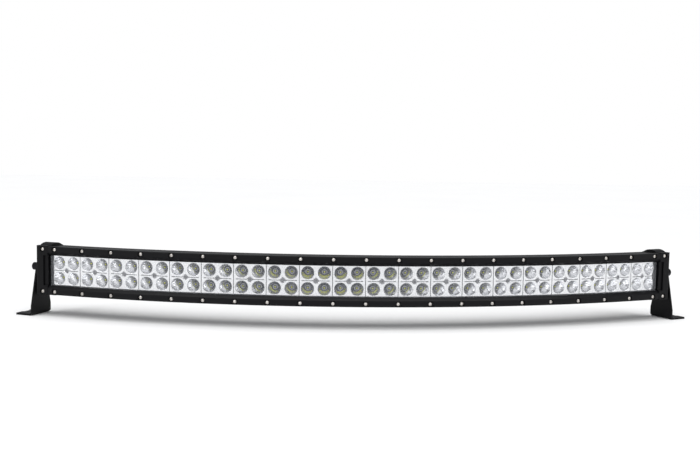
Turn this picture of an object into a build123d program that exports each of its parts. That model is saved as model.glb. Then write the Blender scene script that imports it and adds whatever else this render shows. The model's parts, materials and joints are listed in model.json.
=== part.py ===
"""A curved double-row LED light bar for a truck, with a swivelling steel bracket at each end.

The bar is bent to one radius in plan. Three directions are used throughout: "arc" runs along the
bar's front face from its middle, "depth" runs back from that face towards the centre of the curve,
and "height" runs up from the bar's middle line. Almost every long piece is one cross-section in
(depth, height), carried round the curve; almost every small piece is made in a straight local frame
(x along the bar, y back, z up) and then set on the curve by place().

The finished model has its origin at the bottom centre of its box, with X along the chord, -Y to
the front and Z up.
"""
import os
from math import atan2, cos, degrees, sin

from build123d import *

os.makedirs("parts", exist_ok=True)

# ---------------------------------------------------------------- driving dimensions, millimetres
CURVE_RADIUS = 1300.0        # of the rails' front face, in plan

TILE_COUNT = 20              # reflector tiles, each with two by two cups
CUP_PITCH = 26.5             # from cup to cup along the bar
ROW_PITCH = 25.5             # between the two rows of cups
CUP_MOUTH = 20.6
CUP_THROAT = 8.0
CUP_DEPTH = 13.0
TILE_DEPTH = 14.5
TILE_GAP = 0.9               # between neighbouring tiles
TILE_COUNTERBORE = 7.0       # seat of the screw in the tile's middle
TILE_COUNTERBORE_DEPTH = 1.2

RAIL_WIDTH = 15.0            # bezel rail, from the lens opening to the bar's edge
RAIL_DEPTH = 8.0
RAIL_BEVEL = 5.0             # slope that leads from the rail's face down to the lens
RAIL_LIP = 6.0               # depth of the lip that holds the lens
LENS_THICKNESS = 3.0
LENS_GRIP = 4.5              # lens edge that is held behind the rail
GASKET_THICKNESS = 1.5
END_GASKET_THICKNESS = 2.0

BODY_DEPTH = 66.0            # front face to the rear fins
REAR_HALF = 10.0             # half height of the flat rear face
HEEL_SETBACK = 4.0           # corner between the two rear slopes, from the rear face
HEEL_HALF = 19.0
HIP_SETBACK = 11.0           # corner between the upper slope and the next
HIP_HALF = 28.5
SHOULDER_SETBACK = 24.0      # where the top and bottom start to slope
SHOULDER_DROP = 1.0
REAR_ROUNDING = 12.0         # radius of the rear corners
SLOT_WIDTH = 2.4             # grooves between the fins
FLANK_SLOT_SETBACK = 6.0     # first groove on the top and bottom, behind the rail screws' tips

BOARD_THICKNESS = 1.6
BOARD_COUNT = 4
FLOOR_WALL = 5.0             # metal between the boards and the driver tunnel
TUNNEL_HALF = 12.0
REAR_WALL = 13.8             # metal behind the driver tunnel, which holds the rear grooves
DRIVER_LENGTH = 120.0
DRIVER_ARC = 200.0           # from the bar's middle to each driver board's middle

CAP_THICKNESS = 21.5
CAP_PROUD = 1.0              # the caps stand this far outside the housing
CAP_CROWN = 3.5              # height of the rounded swelling on a cap's top and bottom
CAP_SCREW_INSET = 10.5       # front screws, from the cap's inner face
CAP_STEP = 8.0               # width of the set-back strip beside the lens
BOSS_DIAMETER = 24.0
BOSS_HEIGHT = 5.0

RAIL_SCREW_END = 10.0        # from the run's end to the last screw
RAIL_SCREW_INSET = 5.0       # from the bar's top or bottom edge
SCREW_HEAD = 6.2
SCREW_HEAD_HEIGHT = 2.0
SCREW_SHANK = 3.0
SCREW_SOCKET = 2.5
SCREW_LENGTH = 14.0
COUNTERBORE = 8.6
COUNTERBORE_DEPTH = 2.3
SIDE_SCREW_HEAD = 7.0
SIDE_SCREW_SHANK = 4.0
SIDE_SCREW_GRIP = 12.0       # thread in the housing

BRACKET_THICKNESS = 3.0
BRACKET_REACH = 80.0         # pivot to the underside of the foot
BRACKET_WIDTH = 50.0
BRACKET_EYE = 11.0           # radius of the arm's rounded end
FOOT_LENGTH = 32.0
FOOT_HOLE = 8.5
NOTCH_WIDTH = 14.0
NOTCH_DEPTH = 3.5
BEND_RADIUS = 3.0            # inside of the bend
PIVOT_DEPTH = 22.0
PIVOT_RISE = 3.0             # pivot above the bar's middle line
PIVOT_BOLT = 8.0
PIVOT_HEAD = 13.0
PIVOT_HEAD_HEIGHT = 8.0
PIVOT_SOCKET = 6.0
WASHER_DIAMETER = 17.0
WASHER_THICKNESS = 1.6
SPRING_WASHER_DIAMETER = 14.0
SPRING_WASHER_THICKNESS = 2.0
GROMMET_DIAMETER = 12.0
GROMMET_BORE = 6.0
GROMMET_LIP = 1.5
GROMMET_LENGTH = 12.0

FIT_GAP = 0.1                # between faces that meet
SHAFT_GAP = 0.05             # radial, round a screw or the pivot bolt
SIDE_GAP = 0.5               # round the lens, the tiles and the boards

# ---------------------------------------------------------------- sizes that follow from them
TILE_PITCH = 2 * CUP_PITCH
TILE_HEIGHT = 2 * ROW_PITCH
RUN_HALF = TILE_COUNT * TILE_PITCH / 2
OPENING_HALF = TILE_HEIGHT / 2 - SIDE_GAP
BAR_HALF = OPENING_HALF + RAIL_WIDTH
LENS_HALF = OPENING_HALF + LENS_GRIP
LENS_FRONT = RAIL_LIP + FIT_GAP
LEDGE_DEPTH = LENS_FRONT + LENS_THICKNESS + GASKET_THICKNESS
RECESS_HALF = LENS_HALF + SIDE_GAP
CHANNEL_HALF = TILE_HEIGHT / 2 + 2 * SIDE_GAP
TILE_CROWN = TILE_PITCH**2 / 8 / CURVE_RADIUS      # how far a flat tile's ends stand off the curve
TILE_FRONT = LEDGE_DEPTH + TILE_CROWN + FIT_GAP
BOARD_FRONT = TILE_FRONT + TILE_DEPTH + FIT_GAP
FLOOR_DEPTH = BOARD_FRONT + BOARD_THICKNESS
TUNNEL_FRONT = FLOOR_DEPTH + FLOOR_WALL
TUNNEL_BACK = BODY_DEPTH - REAR_WALL
SHOULDER_DEPTH = BODY_DEPTH - SHOULDER_SETBACK
HIP_DEPTH = BODY_DEPTH - HIP_SETBACK
HEEL_DEPTH = BODY_DEPTH - HEEL_SETBACK
FLANK_SLOT_DEPTH = SCREW_LENGTH + FLANK_SLOT_SETBACK
HOUSING_HALF = RUN_HALF + SIDE_GAP
RAIL_HALF = HOUSING_HALF + END_GASKET_THICKNESS - FIT_GAP     # the rails run on over the end gaskets
RAIL_SCREW_HEIGHT = BAR_HALF - RAIL_SCREW_INSET
SHOULDER_HALF = BAR_HALF - SHOULDER_DROP
CURVE_AXIS = Axis((0, CURVE_RADIUS, 0), (0, 0, 1))
ARM_INNER = CAP_THICKNESS + BOSS_HEIGHT + WASHER_THICKNESS + 2 * FIT_GAP
ARM_OUTER = ARM_INNER + BRACKET_THICKNESS
SIDES = {"left": -1, "right": 1}

RAIL_SCREW_PITCH = 2 * (RUN_HALF - RAIL_SCREW_END) / TILE_COUNT

rail_screw_arcs = [(i - TILE_COUNT / 2) * RAIL_SCREW_PITCH for i in range(TILE_COUNT + 1)]
tile_arcs = [(i - (TILE_COUNT - 1) / 2) * TILE_PITCH for i in range(TILE_COUNT)]
cap_side_screws = [
    (depth, sign * height)
    for depth, height in (
        (FLANK_SLOT_DEPTH + 4, (CHANNEL_HALF + SHOULDER_HALF) / 2),
        (HIP_DEPTH - 13, TUNNEL_HALF + 8),
    )
    for sign in (-1, 1)
]


# ---------------------------------------------------------------- helpers
def place(arc, side=1):
    """The local frame at an arc length: x along the bar, y back, z up."""
    turn = side * arc / CURVE_RADIUS
    return Pos(CURVE_RADIUS * sin(turn), CURVE_RADIUS * (1 - cos(turn)), 0) * Rot(0, 0, degrees(turn))


def along_curve(section, start, end):
    """A (depth, height) face carried round the curve between two arc lengths."""
    face = (Plane.YZ * section).rotate(CURVE_AXIS, degrees(start / CURVE_RADIUS))
    return revolve(face, CURVE_AXIS, degrees((end - start) / CURVE_RADIUS))


def across(section, x_start, x_end):
    """A (depth, height) face made into a straight slab along the local x axis."""
    return extrude(Pos(x_start, 0, 0) * (Plane.YZ * section), x_end - x_start, dir=(1, 0, 0))


def block(x_range, y_range, z_range):
    """A box given by its ranges."""
    size = [high - low for low, high in (x_range, y_range, z_range)]
    middle = [(high + low) / 2 for low, high in (x_range, y_range, z_range)]
    return Pos(*middle) * Box(*size)


def polygon(points):
    """A closed flat face through the points."""
    return make_face(Polyline(*points, close=True))


def rod_back(diameter, depth_from, depth_to):
    """A cylinder along the local y axis, as for a screw that enters from the front."""
    middle = (depth_from + depth_to) / 2
    return Pos(0, middle, 0) * Rot(90, 0, 0) * Cylinder(diameter / 2, depth_to - depth_from)


def rod_along(diameter, x_from, x_to):
    """A cylinder along the local x axis, as for a screw that enters from the end."""
    return Pos((x_from + x_to) / 2, 0, 0) * Rot(0, 90, 0) * Cylinder(diameter / 2, x_to - x_from)


def button_screw(head, head_height, shank, length, socket):
    """A domed screw with a hexagon socket: head above z = 0, shank below it."""
    rim = head_height / 3
    dome = Polyline((0, 0), (head / 2, 0), (head / 2, rim)) + ThreePointArc(
        (head / 2, rim), (head / 3, head_height * 0.85), (0, head_height)
    )
    face = make_face(Plane.XZ * (dome + Line((0, head_height), (0, 0))))
    body = revolve(face, Axis.Z) + Pos(0, 0, -length / 2) * Cylinder(shank / 2, length)
    socket_depth = head_height * 0.6
    hexagon = extrude(RegularPolygon(socket / 2, 6, major_radius=False), socket_depth + 1)
    return body - Pos(0, 0, head_height - socket_depth) * hexagon


def ring(outer, inner, x_from, x_to):
    """A washer about the local x axis."""
    return rod_along(outer, x_from, x_to) - rod_along(inner, x_from - 1, x_to + 1)


# ---------------------------------------------------------------- cross-sections, in (depth, height)
def body_outline(front_depth, grow=0.0):
    """The body's outer shape: full height at the front, sloping in to a narrow flat rear."""
    half = [
        (front_depth, BAR_HALF + grow),
        (SHOULDER_DEPTH + grow, SHOULDER_HALF + grow),
        (HIP_DEPTH + grow, HIP_HALF + grow),
        (HEEL_DEPTH + grow, HEEL_HALF + grow),
        (BODY_DEPTH + grow, REAR_HALF + grow),
    ]
    outline = polygon(half + [(depth, -height) for depth, height in reversed(half)])
    rear_corners = [v for v in outline.vertices() if v.X > front_depth + 1]
    return fillet(rear_corners, REAR_ROUNDING)


def slot(depth, height, lean, length):
    """A groove cut inwards from a point of the outline, leaning from the vertical."""
    return Pos(depth, height) * Rot(0, 0, lean) * Rectangle(SLOT_WIDTH, 2 * length)


def housing_section():
    """The extrusion: lens recess, reflector channel, driver tunnel and the grooves between fins."""
    section = body_outline(RAIL_DEPTH)
    recess = (RAIL_DEPTH - 1, LEDGE_DEPTH, RECESS_HALF)
    channel = (RAIL_DEPTH - 1, FLOOR_DEPTH, CHANNEL_HALF)
    tunnel = (TUNNEL_FRONT, TUNNEL_BACK, TUNNEL_HALF)
    for front, back, half in (recess, channel, tunnel):
        section -= Pos((front + back) / 2, 0) * Rectangle(back - front, 2 * half)
    for sign in (-1, 1):
        section -= slot(FLANK_SLOT_DEPTH, sign * BAR_HALF, 0, 6.0)
        section -= slot(SHOULDER_DEPTH - 1, sign * SHOULDER_HALF, -sign * 12, 8.0)
        section -= slot(HIP_DEPTH, sign * HIP_HALF, -sign * 42, 10.0)
        section -= slot(HEEL_DEPTH, sign * HEEL_HALF, -sign * 60, 7.5)
        section -= slot(BODY_DEPTH, sign * REAR_HALF, -sign * 85, 8.0)
    section -= slot(BODY_DEPTH, 0, 90, 8.0)
    return section


def rail_section(sign):
    """A bezel rail: flat face, bevel down to the lens, and a lip that holds the lens."""
    points = [
        (0, OPENING_HALF + RAIL_BEVEL),
        (0, BAR_HALF - 1),
        (1, BAR_HALF),
        (RAIL_DEPTH, BAR_HALF),
        (RAIL_DEPTH, RECESS_HALF),
        (RAIL_LIP, RECESS_HALF),
        (RAIL_LIP, OPENING_HALF),
        (RAIL_BEVEL, OPENING_HALF),
    ]
    return polygon([(depth, sign * height) for depth, height in points])


def band(front, back, half):
    """A plain rectangle in (depth, height), symmetric about the middle line."""
    return Pos((front + back) / 2, 0) * Rectangle(back - front, 2 * half)


# ---------------------------------------------------------------- the bar's body
def make_housing():
    body = along_curve(housing_section(), -HOUSING_HALF, HOUSING_HALF)
    drill = rod_back(SCREW_SHANK + 2 * SHAFT_GAP, RAIL_DEPTH - 1, SCREW_LENGTH + 2)
    holes = [
        place(arc) * Pos(0, 0, sign * RAIL_SCREW_HEIGHT) * drill
        for arc in rail_screw_arcs
        for sign in (-1, 1)
    ]
    tile_drill = rod_back(SCREW_SHANK + 2 * SHAFT_GAP, FLOOR_DEPTH - 1, FLOOR_DEPTH + 4)
    holes += [place(arc) * tile_drill for arc in tile_arcs]
    end_drill = rod_along(SIDE_SCREW_SHANK + 2 * SHAFT_GAP, -SIDE_SCREW_GRIP - 4, 1)
    for side in SIDES.values():
        for depth, height in cap_side_screws:
            hole = Pos(0, depth, height) * end_drill
            holes.append(end_frame(side) * (hole if side > 0 else mirror(hole, Plane.YZ)))
    return body - holes


def make_rail(sign):
    rail = along_curve(rail_section(sign), -RAIL_HALF, RAIL_HALF)
    clearance = SCREW_SHANK + 0.4
    cuts = []
    for arc in rail_screw_arcs:
        spot = place(arc) * Pos(0, 0, sign * RAIL_SCREW_HEIGHT)
        cuts.append(spot * rod_back(COUNTERBORE, -1, COUNTERBORE_DEPTH))
        cuts.append(spot * rod_back(clearance, 0, RAIL_DEPTH + 1))
    return rail - cuts


def make_lens():
    return along_curve(band(LENS_FRONT, LENS_FRONT + LENS_THICKNESS, LENS_HALF), -RUN_HALF, RUN_HALF)


def make_lens_gasket():
    front = LENS_FRONT + LENS_THICKNESS
    outer = along_curve(band(front, LEDGE_DEPTH, LENS_HALF), -RUN_HALF, RUN_HALF)
    inner = along_curve(band(front - 1, LEDGE_DEPTH + 1, CHANNEL_HALF), 2 - RUN_HALF, RUN_HALF - 2)
    return outer - inner


def make_tile():
    """One flat reflector tile at the local origin, with its cups and its screw hole."""
    width = TILE_PITCH * (1 - BOARD_FRONT / CURVE_RADIUS) - TILE_GAP / 2
    back = TILE_FRONT + TILE_DEPTH
    tile = block((-width / 2, width / 2), (TILE_FRONT, back), (-TILE_HEIGHT / 2, TILE_HEIGHT / 2))
    mouth, throat = CUP_MOUTH / 2, CUP_THROAT / 2
    bulge = ((mouth + throat) / 2 + 1.6, -CUP_DEPTH / 2)
    wall = Polyline((throat, -CUP_DEPTH), (throat, -TILE_DEPTH - 1), (0, -TILE_DEPTH - 1), (0, 0), (mouth, 0))
    bowl = make_face(Plane.XZ * (wall + ThreePointArc((mouth, 0), bulge, (throat, -CUP_DEPTH))))
    cup = Rot(90, 0, 0) * revolve(bowl, Axis.Z)
    for across_sign in (-1, 1):
        for up_sign in (-1, 1):
            tile -= Pos(across_sign * CUP_PITCH / 2, TILE_FRONT, up_sign * ROW_PITCH / 2) * cup
    tile -= rod_back(TILE_COUNTERBORE, TILE_FRONT - 1, TILE_FRONT + TILE_COUNTERBORE_DEPTH)
    return tile - rod_back(SCREW_SHANK + 0.4, TILE_FRONT - 1, back + 1)


def make_board(index):
    length = 2 * RUN_HALF / BOARD_COUNT
    start = -RUN_HALF + index * length
    section = band(BOARD_FRONT, FLOOR_DEPTH, TILE_HEIGHT / 2)
    board = along_curve(section, start + SIDE_GAP / 2, start + length - SIDE_GAP / 2)
    drill = rod_back(SCREW_SHANK + 0.4, BOARD_FRONT - 1, FLOOR_DEPTH + 1)
    return board - [place(arc) * drill for arc in tile_arcs if start < arc < start + length]


def make_emitter():
    """One LED on its board: a square base and a clear dome, facing the front."""
    base = block((-2.4, 2.4), (BOARD_FRONT - 1.0, BOARD_FRONT), (-2.4, 2.4))
    dome = Pos(0, BOARD_FRONT - 1.0, 0) * Sphere(2.0)
    return base + (dome & block((-3, 3), (BOARD_FRONT - 4, BOARD_FRONT - 0.5), (-3, 3)))


def make_driver():
    """A driver board with its coils and capacitors, for the tunnel behind the LED boards."""
    half = DRIVER_LENGTH / 2
    sag = half**2 / 2 / CURVE_RADIUS
    front = TUNNEL_FRONT + sag + 2 * SIDE_GAP
    height = TUNNEL_HALF - SIDE_GAP
    board = block((-half, half), (front, front + BOARD_THICKNESS), (-height, height))
    back = front + BOARD_THICKNESS
    tall = (TUNNEL_BACK - 2 * SIDE_GAP - back) / 2
    for step in (-0.7, -0.25, 0.2, 0.6):
        board += Pos(step * half, 0, 0) * rod_back(9.0, back - 0.2, back + tall)
        board += block((step * half + 8, step * half + 16), (back - 0.2, back + 0.6 * tall), (-8, 8))
    return board


# ---------------------------------------------------------------- the ends
def end_frame(side):
    """The local frame on a cap's inner face, square to the end of the housing."""
    return place(HOUSING_HALF, side) * Pos(side * END_GASKET_THICKNESS, 0, 0)


def make_end_gasket():
    """A flat seal between the housing and a cap, set in from the fins' tips (right end, local)."""
    inset = -4.0
    outline = body_outline(RAIL_DEPTH + 1, inset)
    outline -= band(RAIL_DEPTH, FLOOR_DEPTH, CHANNEL_HALF - 1)
    outline -= band(TUNNEL_FRONT, TUNNEL_BACK, TUNNEL_HALF)
    seal = across(outline, -END_GASKET_THICKNESS, 0)
    drill = rod_along(SIDE_SCREW_SHANK + 0.4, -END_GASKET_THICKNESS - 1, 1)
    return seal - [Pos(0, depth, height) * drill for depth, height in cap_side_screws]


def cap_crown(sign):
    """The swelling on a cap's top or bottom: a flat arc over a base sunk into the cap."""
    start, end = RAIL_DEPTH, SHOULDER_DEPTH
    base = SHOULDER_HALF
    top = BAR_HALF + CAP_PROUD + CAP_CROWN
    arc = ThreePointArc((start, sign * base), ((start + end) / 2, sign * top), (end, sign * base))
    return make_face(arc + Line((end, sign * base), (start, sign * base)))


def make_cap(with_inlet):
    """An end cap with its pivot boss, front screws and side screws (right end, local)."""
    cap = across(body_outline(0, CAP_PROUD), 0, CAP_THICKNESS)
    front_edges = [e for e in cap.edges().filter_by(Axis.Z) if e.center().Y < 1]
    cap = fillet(front_edges, 1.5)
    for sign in (-1, 1):
        cap += across(cap_crown(sign), 0, CAP_THICKNESS)
    cap -= across(band(SCREW_LENGTH, HIP_DEPTH - 1, TUNNEL_HALF + 3), -1, CAP_THICKNESS / 2)
    cap -= block((-1, CAP_STEP), (-1, 2.5), (-OPENING_HALF, OPENING_HALF))
    pivot = Pos(0, PIVOT_DEPTH, PIVOT_RISE)
    cap += pivot * rod_along(BOSS_DIAMETER, CAP_THICKNESS - 1, CAP_THICKNESS + BOSS_HEIGHT)
    bolt_hole = rod_along(PIVOT_BOLT + 2 * SHAFT_GAP, CAP_THICKNESS - 9, CAP_THICKNESS + BOSS_HEIGHT + 1)
    cap -= pivot * bolt_hole
    for sign in (-1, 1):
        spot = Pos(CAP_SCREW_INSET, 0, sign * RAIL_SCREW_HEIGHT)
        cap -= spot * rod_back(COUNTERBORE, -1, COUNTERBORE_DEPTH)
        cap -= spot * rod_back(SCREW_SHANK + 2 * SHAFT_GAP, 0, SCREW_LENGTH + 2)
    for depth, height in cap_side_screws:
        spot = Pos(0, depth, height)
        cap -= spot * rod_along(SIDE_SCREW_HEAD + 1.6, CAP_THICKNESS - 3, CAP_THICKNESS + 1)
        cap -= spot * rod_along(SIDE_SCREW_SHANK + 0.4, -1, CAP_THICKNESS)
    if with_inlet:
        cap -= inlet_frame() * Cylinder(GROMMET_DIAMETER / 2, 2 * GROMMET_LENGTH)
    return cap


def inlet_frame():
    """Where the lead would enter: the slope at the cap's upper rear, with local z into the cap."""
    depth = (HIP_DEPTH + HEEL_DEPTH) / 2 + CAP_PROUD
    height = (HIP_HALF + HEEL_HALF) / 2 + CAP_PROUD
    lean = degrees(atan2(HIP_HALF - HEEL_HALF, HIP_DEPTH - HEEL_DEPTH))
    return Pos(CAP_THICKNESS / 2, depth, height) * Rot(lean, 0, 0)


def make_grommet():
    """The rubber inlet in the right cap, with nothing in it."""
    body = Pos(0, 0, GROMMET_LENGTH / 2) * Cylinder(GROMMET_DIAMETER / 2 - SHAFT_GAP, GROMMET_LENGTH)
    lip = Pos(0, 0, -GROMMET_LIP / 2) * Cylinder(GROMMET_DIAMETER / 2 + 2, GROMMET_LIP)
    return inlet_frame() * (body + lip - Cylinder(GROMMET_BORE / 2, 60))


def edge_at(plate, x, z):
    """The edge of a plate that runs along y through (x, z)."""
    along_y = plate.edges().filter_by(Axis.Y)
    return [edge for edge in along_y if abs(edge.center().X - x) + abs(edge.center().Z - z) < 0.1]


def make_bracket():
    """A steel strip: a tapered arm with an eye, bent outwards into a notched foot (right end, local)."""
    low = PIVOT_RISE - BRACKET_REACH
    half = BRACKET_WIDTH / 2
    taper_top = low + BRACKET_THICKNESS + BEND_RADIUS + 10
    eye = Pos(PIVOT_DEPTH, PIVOT_RISE) * Circle(BRACKET_EYE)
    arm = polygon(
        [
            (PIVOT_DEPTH - BRACKET_EYE, PIVOT_RISE),
            (PIVOT_DEPTH + BRACKET_EYE, PIVOT_RISE),
            (PIVOT_DEPTH + half, taper_top),
            (PIVOT_DEPTH + half, low),
            (PIVOT_DEPTH - half, low),
            (PIVOT_DEPTH - half, taper_top),
        ]
    )
    plate = across(eye + arm, ARM_INNER, ARM_OUTER)
    foot_end = ARM_INNER + FOOT_LENGTH
    width = (PIVOT_DEPTH - half, PIVOT_DEPTH + half)
    plate += block((ARM_INNER, foot_end), width, (low, low + BRACKET_THICKNESS))
    plate = fillet(edge_at(plate, ARM_OUTER, low + BRACKET_THICKNESS), BEND_RADIUS)
    plate = fillet(edge_at(plate, ARM_INNER, low), BEND_RADIUS + BRACKET_THICKNESS - 0.5)
    plate -= Pos(0, PIVOT_DEPTH, PIVOT_RISE) * rod_along(PIVOT_BOLT + 2 * SHAFT_GAP, 0, ARM_OUTER + 1)
    plate -= Pos(foot_hole_x(), PIVOT_DEPTH, low) * Cylinder(FOOT_HOLE / 2, 3 * BRACKET_THICKNESS)
    mouth = NOTCH_WIDTH / 2 + NOTCH_DEPTH * 0.8
    notch = polygon(
        [
            (foot_end + 1, PIVOT_DEPTH - mouth),
            (foot_end, PIVOT_DEPTH - mouth),
            (foot_end - NOTCH_DEPTH, PIVOT_DEPTH - NOTCH_WIDTH / 2),
            (foot_end - NOTCH_DEPTH, PIVOT_DEPTH + NOTCH_WIDTH / 2),
            (foot_end, PIVOT_DEPTH + mouth),
            (foot_end + 1, PIVOT_DEPTH + mouth),
        ]
    )
    return plate - Pos(0, 0, low - 1) * extrude(notch, BRACKET_THICKNESS + 2, dir=(0, 0, 1))


def foot_hole_x():
    """The foot's bolt hole, midway along its flat."""
    return (ARM_OUTER + BEND_RADIUS + ARM_INNER + FOOT_LENGTH - NOTCH_DEPTH) / 2


def make_pivot_bolt():
    """The bolt that a bracket turns on (right end, local)."""
    seat = ARM_OUTER + WASHER_THICKNESS + SPRING_WASHER_THICKNESS + FIT_GAP
    shank = rod_along(PIVOT_BOLT, CAP_THICKNESS - 8, seat)
    head = rod_along(PIVOT_HEAD, seat, seat + PIVOT_HEAD_HEIGHT)
    head = chamfer(head.edges().filter_by(GeomType.CIRCLE).sort_by(Axis.X)[-1], 0.8)
    hexagon = extrude(RegularPolygon(PIVOT_SOCKET / 2, 6, major_radius=False), PIVOT_HEAD_HEIGHT)
    socket = Pos(seat + PIVOT_HEAD_HEIGHT / 2, 0, 0) * Rot(0, 90, 0) * hexagon
    return Pos(0, PIVOT_DEPTH, PIVOT_RISE) * (shank + head - socket)


def make_washers():
    """The inner washer, outer washer and split spring washer of a pivot (right end, local)."""
    bore = PIVOT_BOLT + 0.4
    start = CAP_THICKNESS + BOSS_HEIGHT + FIT_GAP
    inner = ring(WASHER_DIAMETER, bore, start, start + WASHER_THICKNESS)
    start = ARM_OUTER + FIT_GAP
    outer = ring(WASHER_DIAMETER, bore, start, start + WASHER_THICKNESS)
    start += WASHER_THICKNESS
    spring = ring(SPRING_WASHER_DIAMETER, bore, start, start + SPRING_WASHER_THICKNESS)
    spring -= block((start - 1, start + 4), (-0.7, 0.7), (0, SPRING_WASHER_DIAMETER))
    pivot = Pos(0, PIVOT_DEPTH, PIVOT_RISE)
    return Compound(children=[pivot * inner, pivot * outer]), pivot * spring


def make_front_screw():
    """One of the screws along the front, in its counterbore, with its axis through the local origin."""
    screw = button_screw(SCREW_HEAD, SCREW_HEAD_HEIGHT, SCREW_SHANK, SCREW_LENGTH - 1, SCREW_SOCKET)
    return Pos(0, COUNTERBORE_DEPTH, 0) * Rot(90, 0, 0) * screw


def make_cap_front_screws():
    screw = make_front_screw()
    return [Pos(CAP_SCREW_INSET, 0, sign * RAIL_SCREW_HEIGHT) * screw for sign in (-1, 1)]


def make_cap_side_screws():
    seat = CAP_THICKNESS - 3
    length = seat + END_GASKET_THICKNESS + SIDE_SCREW_GRIP
    screw = button_screw(SIDE_SCREW_HEAD, 2.4, SIDE_SCREW_SHANK, length, 3.0)
    screw = Pos(seat, 0, 0) * Rot(0, 90, 0) * screw
    return [Pos(0, depth, height) * screw for depth, height in cap_side_screws]


# ---------------------------------------------------------------- building
pieces = {
    "housing": make_housing(),
    "bezel_rail_upper": make_rail(1),
    "bezel_rail_lower": make_rail(-1),
    "lens": make_lens(),
    "lens_gasket": make_lens_gasket(),
}

tile = make_tile()
for number, arc in enumerate(tile_arcs, 1):
    pieces[f"reflector_tile_{number:02d}"] = place(arc) * tile
for index in range(BOARD_COUNT):
    pieces[f"led_board_{index + 1}"] = make_board(index)

emitter = make_emitter()
pieces["led_emitters"] = Compound(
    children=[
        place(arc) * Pos(along * CUP_PITCH / 2, 0, up * ROW_PITCH / 2) * emitter
        for arc in tile_arcs
        for along in (-1, 1)
        for up in (-1, 1)
    ]
)

front_screw = make_front_screw()
for name, sign in (("upper", 1), ("lower", -1)):
    pieces[f"rail_screws_{name}"] = Compound(
        children=[place(arc) * Pos(0, 0, sign * RAIL_SCREW_HEIGHT) * front_screw for arc in rail_screw_arcs]
    )
tile_screw_length = TILE_DEPTH - TILE_COUNTERBORE_DEPTH + FIT_GAP + BOARD_THICKNESS + 3
tile_screw = button_screw(SCREW_HEAD, SCREW_HEAD_HEIGHT, SCREW_SHANK, tile_screw_length, SCREW_SOCKET)
tile_screw = Pos(0, TILE_FRONT + TILE_COUNTERBORE_DEPTH, 0) * Rot(90, 0, 0) * tile_screw
pieces["reflector_screws"] = Compound(children=[place(arc) * tile_screw for arc in tile_arcs])

driver = make_driver()
for name, side in SIDES.items():
    pieces[f"driver_board_{name}"] = place(DRIVER_ARC, side) * driver

    def at_end(shape):
        """A piece made for the right end, put on this end."""
        return end_frame(side) * (shape if side > 0 else mirror(shape, Plane.YZ))

    washers, spring_washer = make_washers()
    pieces[f"end_gasket_{name}"] = at_end(make_end_gasket())
    pieces[f"end_cap_{name}"] = at_end(make_cap(with_inlet=side > 0))
    pieces[f"cap_front_screws_{name}"] = Compound(children=[at_end(s) for s in make_cap_front_screws()])
    pieces[f"cap_side_screws_{name}"] = Compound(children=[at_end(s) for s in make_cap_side_screws()])
    pieces[f"bracket_{name}"] = at_end(make_bracket())
    pieces[f"pivot_bolt_{name}"] = at_end(make_pivot_bolt())
    pieces[f"pivot_washers_{name}"] = Compound(children=[at_end(w) for w in washers.children])
    pieces[f"spring_washer_{name}"] = at_end(spring_washer)
pieces["cable_grommet"] = end_frame(1) * make_grommet()

# The origin goes to the bottom centre of the whole model's box.
boxes = [shape.bounding_box() for shape in pieces.values()]
low = [min(getattr(box.min, axis) for box in boxes) for axis in "XYZ"]
high = [max(getattr(box.max, axis) for box in boxes) for axis in "XYZ"]
to_origin = Pos(-(low[0] + high[0]) / 2, -(low[1] + high[1]) / 2, -low[2])

for node, shape in pieces.items():
    export_step(to_origin * shape, f"parts/{node}.step")

# The places that the joints and mounts are stated at.
to_end = to_origin * end_frame(1)
turn = HOUSING_HALF / CURVE_RADIUS
pivot = to_end * Pos(ARM_INNER, PIVOT_DEPTH, PIVOT_RISE)
hole = to_end * Pos(foot_hole_x(), PIVOT_DEPTH, PIVOT_RISE - BRACKET_REACH)
inlet = to_end * inlet_frame()
lens_face = to_origin * Pos(0, LENS_FRONT, 0)
print("nodes", len(pieces))
print("overall size", [round(h - l, 2) for l, h in zip(low, high)])
print("right pivot", [round(v, 3) for v in pivot.position])
print("right pivot axis", round(cos(turn), 6), round(sin(turn), 6))
print("right foot hole", [round(v, 3) for v in hole.position], "radius", FOOT_HOLE / 2)
print("inlet mouth", [round(v, 3) for v in inlet.position])
print("inlet direction", [round(v, 5) for v in inlet.z_axis.direction])
print("middle of the lens face", [round(v, 3) for v in lens_face.position])
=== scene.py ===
# %% [markdown]
# # A curved LED light bar
# A light bar for the front of a truck is a bent aluminium extrusion with a row of bright reflector
# tiles behind a clear strip. Every solid of it was designed beforehand as a fixed frame, in metres.
# This lesson gives those solids their finishes, and remakes the pieces whose looks depend on fine
# curvature: the reflector tiles, the LEDs under their domes and the screws between the cups.

# %% Load the frame
import json
from math import cos, pi, radians, sin

import bmesh
import bpy
import numpy as np
from mathutils import Matrix, Vector

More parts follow.
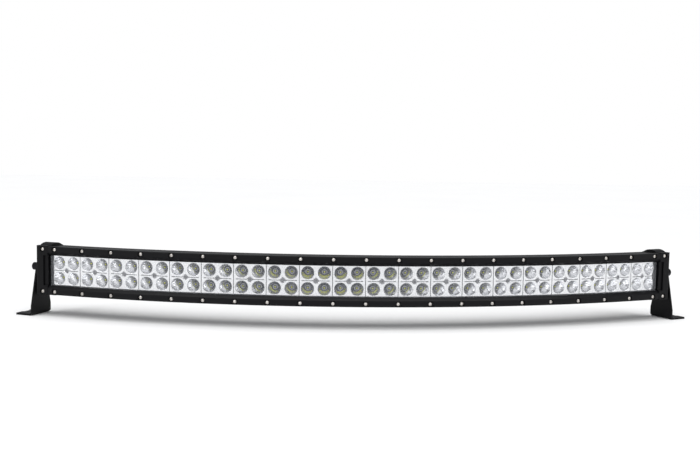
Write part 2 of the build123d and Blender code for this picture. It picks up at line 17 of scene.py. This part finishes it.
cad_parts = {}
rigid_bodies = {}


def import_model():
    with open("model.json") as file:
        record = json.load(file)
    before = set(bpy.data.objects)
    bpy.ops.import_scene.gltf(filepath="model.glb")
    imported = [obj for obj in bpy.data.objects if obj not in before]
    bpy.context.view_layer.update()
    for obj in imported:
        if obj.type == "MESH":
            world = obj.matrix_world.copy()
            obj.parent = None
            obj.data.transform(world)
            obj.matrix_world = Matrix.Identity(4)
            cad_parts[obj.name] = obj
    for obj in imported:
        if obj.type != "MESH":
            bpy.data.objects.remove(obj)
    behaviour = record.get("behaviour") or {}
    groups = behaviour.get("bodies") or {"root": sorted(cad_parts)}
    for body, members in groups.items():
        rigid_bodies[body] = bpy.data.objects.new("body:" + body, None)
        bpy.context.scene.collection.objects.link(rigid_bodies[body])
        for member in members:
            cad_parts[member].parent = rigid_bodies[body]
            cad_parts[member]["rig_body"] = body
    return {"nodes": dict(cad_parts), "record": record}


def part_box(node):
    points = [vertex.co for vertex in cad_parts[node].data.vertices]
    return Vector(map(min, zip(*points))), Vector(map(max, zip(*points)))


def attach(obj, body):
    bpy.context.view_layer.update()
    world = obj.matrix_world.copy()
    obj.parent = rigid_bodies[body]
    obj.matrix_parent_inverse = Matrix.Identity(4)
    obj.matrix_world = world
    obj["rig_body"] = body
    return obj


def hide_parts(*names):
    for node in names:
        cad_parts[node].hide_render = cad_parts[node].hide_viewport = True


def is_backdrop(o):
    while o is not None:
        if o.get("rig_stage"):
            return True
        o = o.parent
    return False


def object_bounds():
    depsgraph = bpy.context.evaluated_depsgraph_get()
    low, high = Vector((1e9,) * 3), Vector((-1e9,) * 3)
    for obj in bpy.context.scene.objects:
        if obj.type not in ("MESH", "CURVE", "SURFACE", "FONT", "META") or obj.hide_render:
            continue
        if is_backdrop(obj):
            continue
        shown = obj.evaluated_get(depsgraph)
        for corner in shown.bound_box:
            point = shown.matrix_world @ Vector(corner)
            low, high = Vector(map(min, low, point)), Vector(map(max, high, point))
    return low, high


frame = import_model()
cad_box = [list(corner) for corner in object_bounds()]
MM = 0.001

# %% [markdown]
# ## Where things are on the curve
# The bar is bent to one radius in plan. A place on it is an arc length from the middle, and the
# small straight pieces there use a local frame: x along the bar, y back, z up. Working the places
# out from the frame's own boxes keeps every new piece exactly where the solid one is.

# %% The curve
CURVE_RADIUS = 1300 * MM
rail_low, rail_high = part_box("bezel_rail_lower")[0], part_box("bezel_rail_upper")[1]
apex = Vector((0, rail_low.y, (rail_low.z + rail_high.z) / 2))


def place(points, arc):
    """Local points turned about the vertical by arc / radius, then set on the curve at that arc length."""
    turn = arc / CURVE_RADIUS
    x, y, z = np.moveaxis(np.asarray(points, float), -1, 0)
    across = CURVE_RADIUS * sin(turn) + x * cos(turn) - y * sin(turn)
    back = CURVE_RADIUS * (1 - cos(turn)) + x * sin(turn) + y * cos(turn)
    return np.stack([across + apex.x, back + apex.y, z + apex.z], -1)


def local_box(node, arc):
    """The extent of a node in the local frame at an arc length: place() undone, then the extremes."""
    turn = arc / CURVE_RADIUS
    mesh = frame["nodes"][node].data
    points = np.empty(len(mesh.vertices) * 3)
    mesh.vertices.foreach_get("co", points)
    points = points.reshape(-1, 3) - np.array(apex)
    across = points[:, 0] - CURVE_RADIUS * sin(turn)
    back = points[:, 1] - CURVE_RADIUS * (1 - cos(turn))
    x = across * cos(turn) + back * sin(turn)
    y = back * cos(turn) - across * sin(turn)
    local = np.stack([x, y, points[:, 2]], -1)
    return local.min(0), local.max(0)


tile_nodes = sorted(name for name in frame["nodes"] if name.startswith("reflector_tile_"))
CUP_PITCH, ROW_PITCH = 26.5 * MM, 25.5 * MM
tile_arcs = [(i - (len(tile_nodes) - 1) / 2) * 2 * CUP_PITCH for i in range(len(tile_nodes))]
tile_low, tile_high = local_box(tile_nodes[0], tile_arcs[0])
print("a tile is", np.round((tile_high - tile_low) / MM, 2), "mm; its face is at", round(tile_low[1] / MM, 2))

# %% [markdown]
# ## Camera
# A product picture of a long bar is taken from far enough away that both ends keep their shape, a
# little to the left and a little above. The camera's frame is worked out from those angles, so that
# the bar lies low in the picture, with a slight roll.

# %% The camera
AZIMUTH, ELEVATION, ROLL = radians(-4.20), radians(5.02), radians(1.09)
DISTANCE, OFF_RIGHT, OFF_UP, LENS = 1.554, -0.0255, 0.0771, 50.66
back = Vector((sin(AZIMUTH) * cos(ELEVATION), -cos(AZIMUTH) * cos(ELEVATION), sin(ELEVATION)))
level = Vector((cos(AZIMUTH), sin(AZIMUTH), 0))
upright = back.cross(level)
right = level * cos(ROLL) + upright * sin(ROLL)
up = upright * cos(ROLL) - level * sin(ROLL)
camera = bpy.data.objects.new("camera", bpy.data.cameras.new("camera"))
camera.data.lens = LENS
camera.data.sensor_width = 36
camera.matrix_world = Matrix((right, up, back)).transposed().to_4x4()
camera.location = apex + right * OFF_RIGHT + up * OFF_UP + back * DISTANCE
bpy.context.scene.collection.objects.link(camera)
bpy.context.scene.camera = camera
bpy.context.scene.view_settings.view_transform = "Standard"
print("camera at", [round(v, 3) for v in camera.location])

# %% [markdown]
# ## Shader maths in plain expressions
# A finish is a small sum of patterns. Wiring nodes by hand hides that sum, so a thin class wraps an
# output socket and lets it be added, multiplied and subtracted like a number. Everything else comes
# from one method that adds a node with its settings and inputs.


# %% The shader helpers
class Wire:
    """An output socket that can stand in an expression."""

    def __init__(self, finish, socket):
        self.finish, self.socket = finish, socket

    def maths(self, operation, first, second=0.0):
        return self.finish.node("Math", {"operation": operation}, {0: first, 1: second})

    def __add__(self, other):
        return self.maths("ADD", self, other)

    def __sub__(self, other):
        return self.maths("SUBTRACT", self, other)

    def __rsub__(self, other):
        return self.maths("SUBTRACT", other, self)

    def __mul__(self, other):
        return self.maths("MULTIPLY", self, other)

    def __pow__(self, other):
        return self.maths("POWER", self, other)

    __radd__ = __add__
    __rmul__ = __mul__


class Finish:
    """A material in the making. Constants sit on the shader; patterns are fed to it."""

    def __init__(self, name, **constants):
        self.material = bpy.data.materials.new(name)
        self.material.use_nodes = True
        self.tree = self.material.node_tree
        self.shader = self.tree.nodes["Principled BSDF"]
        for words, value in constants.items():
            self.shader.inputs[self.socket_name(words)].default_value = value

    @staticmethod
    def socket_name(words):
        return words.replace("_", " ").title().replace("Ior", "IOR")

    def node(self, kind, settings=None, inputs=None, out=0):
        node = self.tree.nodes.new("ShaderNode" + kind)
        for key, value in (settings or {}).items():
            setattr(node, key, value)
        for key, value in (inputs or {}).items():
            if isinstance(value, Wire):
                self.tree.links.new(value.socket, node.inputs[key])
            else:
                node.inputs[key].default_value = value
        return Wire(self, node.outputs[out])

    def feed(self, **patterns):
        for words, wire in patterns.items():
            self.tree.links.new(wire.socket, self.shader.inputs[self.socket_name(words)])
        return self

    def place(self):
        return self.node("TexCoord", out="Object")

    def noise(self, scale, detail=3.0, vector=None):
        inputs = {"Vector": vector or self.place(), "Scale": scale, "Detail": detail}
        return self.node("TexNoise", None, inputs)

    def step(self, value, low, high):
        """0 below low, 1 above high, with a soft change between."""
        settings = {"interpolation_type": "SMOOTHSTEP"}
        return self.node("MapRange", settings, {"Value": value, "From Min": low, "From Max": high})

    def colour(self, factor, first, second):
        pair = {0: factor, 6: first, 7: second}
        return self.node("Mix", {"data_type": "RGBA"}, pair, out=2)

    def bump(self, height, strength, distance):
        inputs = {"Height": height, "Strength": strength, "Distance": distance}
        return self.node("Bump", None, inputs)


BLUE_TINT = 1.2


def grey(value):
    """A dark grey, a little bluer than neutral."""
    return (value, value, value * BLUE_TINT, 1)


# %% [markdown]
# ## Powder coat
# The housing, rails, caps and brackets are black powder coat: a baked plastic skin with a fine
# orange-peel surface that spreads the highlights. Two sizes of noise make the peel, and a broad,
# faint one changes the gloss as handling does. Drawn extrusions also keep faint die lines along
# their length, which are rings about the curve's axis, so the extruded pieces get those too.


# %% Black coats
DIE_LINE_PITCH = 1.3 * MM
PEEL_HEIGHT = 0.18 * MM


def powder_coat(name, tone, gloss, peel, die_lines=0.0):
    """Black coat: noise bump for the peel, and rings in radius and height for the die lines.

    The rings are the sine of the distance from the curve's axis plus the sine of the height.
    """
    finish = Finish(name, specular_ior_level=0.14)
    position = finish.place()
    broad = finish.noise(9, 4, position)
    fine = finish.noise(1100, 2, position)
    coarse = finish.noise(330, 2, position)
    height = fine * 0.5 + coarse * 0.5
    if die_lines:
        axis = {0: position, 1: (apex.x, apex.y + CURVE_RADIUS, 0)}
        from_axis = finish.node("VectorMath", {"operation": "SUBTRACT"}, axis)
        flat = {0: from_axis, 1: (1, 1, 0)}
        flat = finish.node("VectorMath", {"operation": "MULTIPLY"}, flat)
        radius = finish.node("VectorMath", {"operation": "LENGTH"}, {0: flat}, out="Value")
        level_z = finish.node("SeparateXYZ", None, {0: position}, out="Z")
        waves = 2 * pi / DIE_LINE_PITCH
        rings = finish.node("Math", {"operation": "SINE"}, {0: radius * waves})
        rings = rings + finish.node("Math", {"operation": "SINE"}, {0: level_z * waves})
        height = height + rings * die_lines
    worn = finish.step(finish.noise(46, 5, position), 0.6, 0.78)
    finish.feed(
        base_color=finish.colour(broad * 0.6 + worn * 0.4, grey(tone), grey(tone * 2.1)),
        roughness=broad * 0.12 + (gloss - 0.06) + worn * 0.06,
        normal=finish.bump(height, peel, PEEL_HEIGHT),
    )
    return finish.material


coats = {
    "housing_coat": powder_coat("housing_coat", 0.0030, 0.38, 0.55, die_lines=0.35),
    "rail_coat": powder_coat("rail_coat", 0.0036, 0.33, 0.35, die_lines=0.12),
    "cap_coat": powder_coat("cap_coat", 0.0026, 0.42, 0.65),
    "bracket_coat": powder_coat("bracket_coat", 0.0022, 0.44, 0.6),
}
print("coats:", ", ".join(coats))

# %% [markdown]
# ## Bare metal, rubber and boards
# Turned steel has short, fine scratches in every direction, whether it is left bright, plated with
# dull zinc or blackened, so one recipe serves all three. Rubber is dull and faintly mottled. The LED
# boards are aluminium under a white mask, and the driver boards are green, with darker copper pours
# under the mask.


# %% The small finishes
def steel(name, dull, bright, gloss):
    """Steel: high-frequency noise in roughness and a little in colour, between two tones."""
    finish = Finish(name, metallic=1.0)
    scratches = finish.noise(2600, 5)
    tint = finish.noise(120, 2)
    finish.feed(
        base_color=finish.colour(tint, dull, bright),
        roughness=scratches * 0.22 + gloss,
        normal=finish.bump(scratches, 0.12, 0.00005),
    )
    return finish.material


def rubber():
    """Rubber: mottled dark grey, very rough, with a fine cast grain."""
    finish = Finish("black_rubber", specular_ior_level=0.35)
    mottle = finish.noise(260, 4)
    finish.feed(
        base_color=finish.colour(mottle, grey(0.008), grey(0.022)),
        roughness=mottle * 0.2 + 0.62,
        normal=finish.bump(mottle, 0.4, 0.0001),
    )
    return finish.material


def board(name, mask, pour):
    """A printed board: broad cells of copper show through the mask as a second tone."""
    finish = Finish(name, specular_ior_level=0.45)
    cells = {"Vector": finish.place(), "Scale": 190.0}
    copper = finish.step(finish.node("TexVoronoi", {"feature": "DISTANCE_TO_EDGE"}, cells), 0.04, 0.07)
    weave = finish.noise(1500, 2)
    finish.feed(
        base_color=finish.colour(copper, mask, pour),
        roughness=weave * 0.15 + 0.3,
        normal=finish.bump(copper + weave * 0.2, 0.3, 0.00004),
    )
    return finish.material


small = {
    "stainless": steel("stainless", (0.5, 0.47, 0.44, 1), (0.82, 0.79, 0.75, 1), 0.16),
    "zinc_steel": steel("zinc_steel", (0.16, 0.16, 0.17, 1), (0.34, 0.34, 0.35, 1), 0.3),
    "blackened_steel": steel("blackened_steel", (0.012, 0.012, 0.014, 1), (0.03, 0.03, 0.034, 1), 0.28),
    "black_rubber": rubber(),
    "board_white": board("board_white", (0.5, 0.5, 0.48, 1), (0.62, 0.62, 0.6, 1)),
    "driver_green": board("driver_green", (0.012, 0.09, 0.035, 1), (0.02, 0.16, 0.06, 1)),
}
print("small finishes:", ", ".join(small))

# %% [markdown]
# ## Clear strip and bright metal
# The strip is hard-coated polycarbonate. Refraction would need many light bounces to brighten what
# is behind it, so it is made mostly transparent instead, with a sharp gloss and a trace of haze. The
# reflectors are plastic with vacuum-deposited aluminium: a near-mirror with a faint orange peel.


# %% Strip and reflector metal
def clear_strip():
    """Nearly transparent, with haze as a little more opacity where a broad noise is high."""
    finish = Finish("clear_lens", base_color=(0.92, 0.95, 1, 1), specular_ior_level=0.6)
    haze = finish.noise(14, 5)
    finish.feed(alpha=haze * 0.05 + 0.035, roughness=haze * 0.06 + 0.03)
    return finish.material


def bright_metal():
    """Vacuum metal: a near-mirror whose peel is a low noise bump, warmer and duller in places."""
    finish = Finish("metallised_reflector", metallic=1.0)
    peel = finish.noise(420, 3)
    broad = finish.noise(60, 3)
    finish.feed(
        base_color=finish.colour(broad, (0.73, 0.74, 0.76, 1), (0.85, 0.85, 0.86, 1)),
        roughness=broad * 0.1 + 0.06,
        normal=finish.bump(peel, 0.08, 0.0001),
    )
    return finish.material


def phosphor():
    """Yellow phosphor in the middle of a dark glossy dome, told apart by the piece's own attribute."""
    finish = Finish("phosphor", coat_roughness=0.05, coat_weight=0.6)
    patch = finish.node("Attribute", {"attribute_name": "patch"}, out="Fac")
    grain = finish.noise(3000, 3)
    yellow = finish.colour(grain, (0.62, 0.66, 0.01, 1), (0.86, 0.86, 0.06, 1))
    finish.feed(
        base_color=finish.colour(finish.step(patch, 0.3, 0.6), (0.02, 0.025, 0.05, 1), yellow),
        roughness=grain * 0.1 + 0.22,
    )
    return finish.material


finishes = {
    **coats,
    **small,
    "clear_lens": clear_strip(),
    "metallised_reflector": bright_metal(),
    "phosphor": phosphor(),
}
slot_of = {part["node"]: part["material_slot"] for part in frame["record"]["subparts"]}
for name, thing in frame["nodes"].items():
    thing.data.materials.clear()
    thing.data.materials.append(finishes[slot_of[name]])
print("finishes:", len(finishes), "on", len(slot_of), "nodes")


# %% [markdown]
# ## Making a mesh from arrays
# Each new piece is a grid of points: rings, each a closed loop of the same number of points. One
# helper turns such grids into a mesh, joins points that coincide so that poles and seams close, and
# turns all faces outwards.


# %% Grids to meshes
def ring_faces(rings, around):
    """Four-sided faces between neighbouring rings, each ring joined to its own start."""
    i, j = np.meshgrid(np.arange(rings - 1), np.arange(around), indexing="ij")
    after = (j + 1) % around
    corners = (i * around + j, i * around + after, (i + 1) * around + after, (i + 1) * around + j)
    return np.stack(corners, -1).reshape(-1, 4)


def make_piece(name, points, faces, node, sharp=35, **attributes):
    """A mesh from point and face arrays, on the body of the node that it stands for."""
    mesh = bpy.data.meshes.new(name)
    mesh.from_pydata(points.reshape(-1, 3).tolist(), [], faces.tolist())
    for label, values in attributes.items():
        layer = mesh.attributes.new(label, "FLOAT", "POINT")
        layer.data.foreach_set("value", np.asarray(values, np.float32).ravel())
    shape = bmesh.new()
    shape.from_mesh(mesh)
    bmesh.ops.remove_doubles(shape, verts=shape.verts, dist=0.002 * MM)
    bmesh.ops.dissolve_degenerate(shape, dist=0.001 * MM, edges=shape.edges)
    bmesh.ops.recalc_face_normals(shape, faces=shape.faces)
    open_edges = sum(not edge.is_manifold for edge in shape.edges)
    shape.to_mesh(mesh)
    shape.free()
    mesh.polygons.foreach_set("use_smooth", np.ones(len(mesh.polygons), bool))
    mesh.set_sharp_from_angle(angle=radians(sharp))
    mesh.materials.append(finishes[slot_of[node]])
    piece = bpy.data.objects.new(name, mesh)
    bpy.context.scene.collection.objects.link(piece)
    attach(piece, frame["nodes"][node]["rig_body"])
    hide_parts(node)
    return open_edges


# %% [markdown]
# ## Reflector tiles
# One moulding holds two by two cups. Each cup is a parabola whose focus lies in the LED's dome,
# which is why a viewer near its axis sees the LED's yellow spread over part of the bowl. A smooth
# bowl would show one clean picture, while the real one is fluted to blend the beam, more strongly
# towards the bar's ends. A painted pattern could not do this, so the flutes are geometry.

# %% The tile's rings
AROUND = 96
CUP_MOUTH, CUP_THROAT, CUP_DEPTH = 20.6 * MM, 8 * MM, 13 * MM
TILE_DEPTH = tile_high[1] - tile_low[1]
RIM_ROLL = 0.5 * MM
SEAT_RADIUS, SEAT_DEPTH = 3.5 * MM, 1.2 * MM
GROOVE_HALF, GROOVE_DEPTH, GROOVE_REACH = 0.6 * MM, 4.5 * MM, 8.4 * MM
FLUTES, FLUTE_FADE, MEAN_RIPPLE = 14, 3 * MM, 0.64
PLATE_RINGS, BACK_RINGS = 13, 3
angle = np.arange(AROUND) * 2 * pi / AROUND
circle = np.stack([np.cos(angle), np.sin(angle)], -1)
square = circle / np.abs(circle).max(-1, keepdims=True)


def soft_step(value, low, high):
    """0 below low and 1 above high, along the curve 3t^2 - 2t^3 between."""
    t = np.clip((value - low) / (high - low), 0, 1)
    return t * t * (3 - 2 * t)


def cup_rings(flute):
    """Rings of one cup, as (squareness, radius for each angle, depth).

    From the plate's square edge to the rim, over a quarter-round, down the parabola
    depth = (mouth^2 - r^2) / 4f, through the throat, and across the back to the square edge again.
    """
    mouth, throat = CUP_MOUTH / 2, CUP_THROAT / 2
    plate = np.linspace(1, 0, PLATE_RINGS)
    roll = np.linspace(0, pi / 2, 5)[1:]
    bowl = np.linspace(mouth, throat, 18)[1:]
    down = RIM_ROLL + (mouth**2 - bowl**2) / (mouth**2 - throat**2) * (CUP_DEPTH - RIM_ROLL)
    rim = mouth + RIM_ROLL
    back_out = np.linspace(0, 1, BACK_RINGS + 1)[1:]
    squareness = np.concatenate([plate, np.zeros(len(roll) + len(bowl) + 1), back_out])
    rolled = rim - RIM_ROLL * np.sin(roll)
    radius = np.concatenate([np.full(PLATE_RINGS, rim), rolled, bowl, np.full(BACK_RINGS + 1, throat)])
    lowered = RIM_ROLL * (1 - np.cos(roll))
    behind = np.full(BACK_RINGS + 1, TILE_DEPTH)
    depth = np.concatenate([np.zeros(PLATE_RINGS), lowered, down, behind])
    fade_in = soft_step(depth, RIM_ROLL, FLUTE_FADE)
    fade_out = soft_step(depth, CUP_DEPTH - FLUTE_FADE, CUP_DEPTH)
    on_bowl = fade_in * (1 - fade_out)
    ripple = np.abs(np.cos(angle * FLUTES / 2)) - MEAN_RIPPLE
    return squareness, radius[:, None] + flute * on_bowl[:, None] * ripple[None, :], depth


def tile_mesh(flute):
    """Four cups side by side, and the moulding's outer wall. Returns local points and faces."""
    squareness, radius, depth = cup_rings(flute)
    rings, points, faces = len(depth), [], []
    half = (tile_high[[0, 2]] - tile_low[[0, 2]]) / 2
    for sign in ((-1, -1), (1, -1), (-1, 1), (1, 1)):
        cell = half / 2 * sign
        cup = np.array([CUP_PITCH, ROW_PITCH]) / 2 * sign
        edge = cell + square * half / 2
        q = squareness[:, None, None]
        flat = q * edge + (1 - q) * (cup + radius[..., None] * circle)
        front = depth[:, None] < RIM_ROLL / 2
        seat = 1 - soft_step(np.hypot(flat[..., 0], flat[..., 1]), SEAT_RADIUS, SEAT_RADIUS + 0.5 * MM)
        groove = 1 - soft_step(np.abs(flat[..., 1]), GROOVE_HALF * 0.4, GROOVE_HALF)
        groove = groove * (np.abs(flat[..., 0] - cup[0]) < GROOVE_REACH)
        sunk = depth[:, None] + front * np.maximum(seat * SEAT_DEPTH, groove * GROOVE_DEPTH)
        grid = np.stack([flat[..., 0], tile_low[1] + sunk, flat[..., 1]], -1)
        start = len(points) * rings * AROUND
        faces.append(ring_faces(rings, AROUND) + start)
        outside = (np.abs(np.abs(edge) - half) < 0.01 * MM)
        wall = (outside & np.roll(outside, -1, 0)).any(-1)
        j = np.arange(AROUND)[wall]
        after = (j + 1) % AROUND
        last = (rings - 1) * AROUND
        faces.append(np.stack([last + j, last + after, after, j], -1) + start)
        points.append(grid)
    return np.stack(points), np.concatenate(faces)


# %% Make the tiles
FLUTE_MIDDLE, FLUTE_GAIN = 0.10 * MM, 0.38 * MM
farthest = max(tile_arcs)
leaks = 0
for node, arc in zip(tile_nodes, tile_arcs):
    flute = FLUTE_MIDDLE + FLUTE_GAIN * (abs(arc) / farthest) ** 1.5
    points, faces = tile_mesh(flute)
    leaks += make_piece(node.replace("tile", "moulding"), place(points, arc), faces, node)
print(len(tile_nodes), "tiles,", len(faces), "faces each,", leaks, "open edges")

# %% [markdown]
# ## LEDs
# Each LED is a square ceramic base with a clear dome over its phosphor. The base's ring is a square
# and the dome's rings are circles, so the surface changes from one to the other as it rises. An
# attribute is 1 over the phosphor in the middle of the dome, for the finish to read.

# %% Make the LEDs
LED_AROUND = 24
BASE_HALF, BASE_HEIGHT, TOP_TAPER = 2.4 * MM, 0.9 * MM, 0.96
DOME_RADIUS, PATCH_RADIUS = 2.0 * MM, 1.2 * MM
BOARD_GAP = 0.1 * MM
led_angle = np.arange(LED_AROUND) * 2 * pi / LED_AROUND + pi / LED_AROUND
led_circle = np.stack([np.cos(led_angle), np.sin(led_angle)], -1)
led_square = led_circle / np.abs(led_circle).max(-1, keepdims=True)
rise = np.linspace(0, pi / 2, 7)
led_square_share = np.array([0, 1, 1, 1] + [0] * 7)
led_radius = np.concatenate([[0, 0, 0, 0], DOME_RADIUS * np.cos(rise)])
led_height = np.concatenate([[0, 0, 0.85, 1], np.full(7, 1)]) * BASE_HEIGHT
led_height[4:] += DOME_RADIUS * np.sin(rise)
share = led_square_share[:, None, None]
led_flat = share * led_square * BASE_HALF + (1 - share) * led_radius[:, None, None] * led_circle
led_flat[3] *= TOP_TAPER
board_front = tile_high[1] + BOARD_GAP
led = np.stack(
    [
        led_flat[..., 0],
        np.broadcast_to((board_front - led_height)[:, None], led_flat.shape[:2]),
        led_flat[..., 1],
    ],
    -1,
)
over_patch = (led_height > BASE_HEIGHT) & (led_radius < PATCH_RADIUS)
on_patch = np.broadcast_to(over_patch[:, None], led.shape[:2])
led_points, led_faces, led_patch = [], [], []
for arc in tile_arcs:
    for x in (-CUP_PITCH / 2, CUP_PITCH / 2):
        for z in (-ROW_PITCH / 2, ROW_PITCH / 2):
            led_faces.append(ring_faces(len(led), LED_AROUND) + len(led_points) * led.shape[0] * LED_AROUND)
            led_points.append(place(led + np.array([x, 0, z]), arc))
            led_patch.append(on_patch)
patches = np.stack(led_patch)
led_grid, led_quads = np.stack(led_points), np.concatenate(led_faces)
leaks = make_piece("leds_with_domes", led_grid, led_quads, "led_emitters", 40, patch=patches)
print(len(led_points), "LEDs,", leaks, "open edges")

# %% [markdown]
# ## Screws between the cups
# A pan-head screw with a cross recess holds each tile. Its head is a height above a disc: a rounded
# pan, less the recess, which is two crossed slots with soft walls.

# %% Make the cross-head screws
HEAD_RADIUS, HEAD_HEIGHT, SHANK_RADIUS, SHANK_LENGTH = 3.1 * MM, 1.9 * MM, 1.45 * MM, 15 * MM
SLOT_HALF, SLOT_REACH, RECESS_DEPTH = 0.42 * MM, 1.75 * MM, 1.1 * MM
reach = np.concatenate([HEAD_RADIUS * np.linspace(1, 0.62, 7), HEAD_RADIUS * np.linspace(0.6, 0.02, 14), [0]])
pan = HEAD_HEIGHT * (1 - (reach / HEAD_RADIUS) ** 3.2) ** 0.45
head = reach[:, None, None] * circle
long_way, short_way = np.abs(head).max(-1), np.abs(head).min(-1)
recess = (1 - soft_step(short_way, SLOT_HALF, SLOT_HALF + 0.15 * MM)) * (
    1 - soft_step(long_way, SLOT_REACH - 0.3 * MM, SLOT_REACH)
)
head_height = pan[:, None] - RECESS_DEPTH * recess
shank = np.array([0, SHANK_RADIUS, SHANK_RADIUS])
shank_height = np.array([-SHANK_LENGTH, -SHANK_LENGTH, 0])
screw_flat = np.concatenate([shank[:, None, None] * circle, head])
screw_height = np.concatenate([np.broadcast_to(shank_height[:, None], (3, AROUND)), head_height])
seat_face = tile_low[1] + SEAT_DEPTH
screw = np.stack([screw_flat[..., 0], seat_face - screw_height, screw_flat[..., 1]], -1)
screws = np.stack([place(screw, arc) for arc in tile_arcs])
screw_faces = [ring_faces(len(screw), AROUND) + i * len(screw) * AROUND for i in range(len(tile_arcs))]
leaks = make_piece("tile_cross_screws", screws, np.concatenate(screw_faces), "reflector_screws", 30)
print(len(screws), "screws,", leaks, "open edges")

# %% [markdown]
# ## Floor and light
# The bar stands on a plain pale floor. A very broad sun overhead whitens it evenly, however far
# away it is, and a soft light at each side draws the long edges of the black rails. The world is
# bright where the camera looks straight at it and dimmer as a light, so that the black stays black.

# %% The studio
FLOOR_HALF = 7.0
floor_mesh = bpy.data.meshes.new("floor")
corners = [(-FLOOR_HALF, -FLOOR_HALF, 0), (FLOOR_HALF, -FLOOR_HALF, 0), (FLOOR_HALF, FLOOR_HALF, 0)]
floor_mesh.from_pydata(corners + [(-FLOOR_HALF, FLOOR_HALF, 0)], [], [(0, 1, 2, 3)])
paint = Finish("floor_paint", specular_ior_level=0.1)
shade = paint.colour(paint.noise(2), (0.88, 0.88, 0.88, 1), (0.92, 0.92, 0.92, 1))
paint.feed(roughness=paint.noise(3) * 0.1 + 0.8, base_color=shade)
floor_mesh.materials.append(paint.material)
floor = bpy.data.objects.new("floor", floor_mesh)
floor.location.z = -0.0003
bpy.context.scene.collection.objects.link(floor)
floor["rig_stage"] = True


def soft_light(name, power, size, position, aim):
    """A rectangular light at a position, turned so that its -Z points at the aim."""
    light = bpy.data.lights.new(name, "AREA")
    light.energy, light.shape, light.size, light.size_y = power, "RECTANGLE", size[0], size[1]
    lamp = bpy.data.objects.new(name, light)
    lamp.location = position
    lamp.rotation_euler = (Vector(aim) - Vector(position)).to_track_quat("-Z", "Y").to_euler()
    bpy.context.scene.collection.objects.link(lamp)


sky = bpy.data.lights.new("overhead", "SUN")
sky.energy, sky.angle = 2.5, radians(70)
overhead = bpy.data.objects.new("overhead", sky)
overhead.rotation_euler = (radians(18), 0, 0)
bpy.context.scene.collection.objects.link(overhead)
soft_light("left_bank", 7, (0.5, 1.2), (-1.9, -1.3, 0.9), (0, 0, 0.08))
soft_light("right_bank", 6, (0.5, 1.2), (1.9, -1.3, 0.9), (0, 0, 0.08))
world = bpy.data.worlds.new("studio")
bpy.context.scene.world = world
world.use_nodes = True
tree = world.node_tree
DIM_STRENGTH = 0.38
seen, lit = tree.nodes["Background"], tree.nodes.new("ShaderNodeBackground")
seen.inputs["Color"].default_value = (1, 1, 1, 1)
lit.inputs["Color"].default_value = (0.97, 0.98, 1, 1)
lit.inputs["Strength"].default_value = DIM_STRENGTH
path, mix = tree.nodes.new("ShaderNodeLightPath"), tree.nodes.new("ShaderNodeMixShader")
tree.links.new(path.outputs["Is Camera Ray"], mix.inputs[0])
tree.links.new(lit.outputs[0], mix.inputs[1])
tree.links.new(seen.outputs[0], mix.inputs[2])
tree.links.new(mix.outputs[0], tree.nodes["World Output"].inputs["Surface"])

# %% [markdown]
# ## Finish
# The box of what was made is compared with the box of the frame, because looks never change size.

# %% Compare the boxes and finish
visual_box = [list(corner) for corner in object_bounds()]
difference = float(np.abs(np.array(cad_box) - visual_box).max())
print("largest difference of the boxes:", round(difference / MM, 3), "mm")
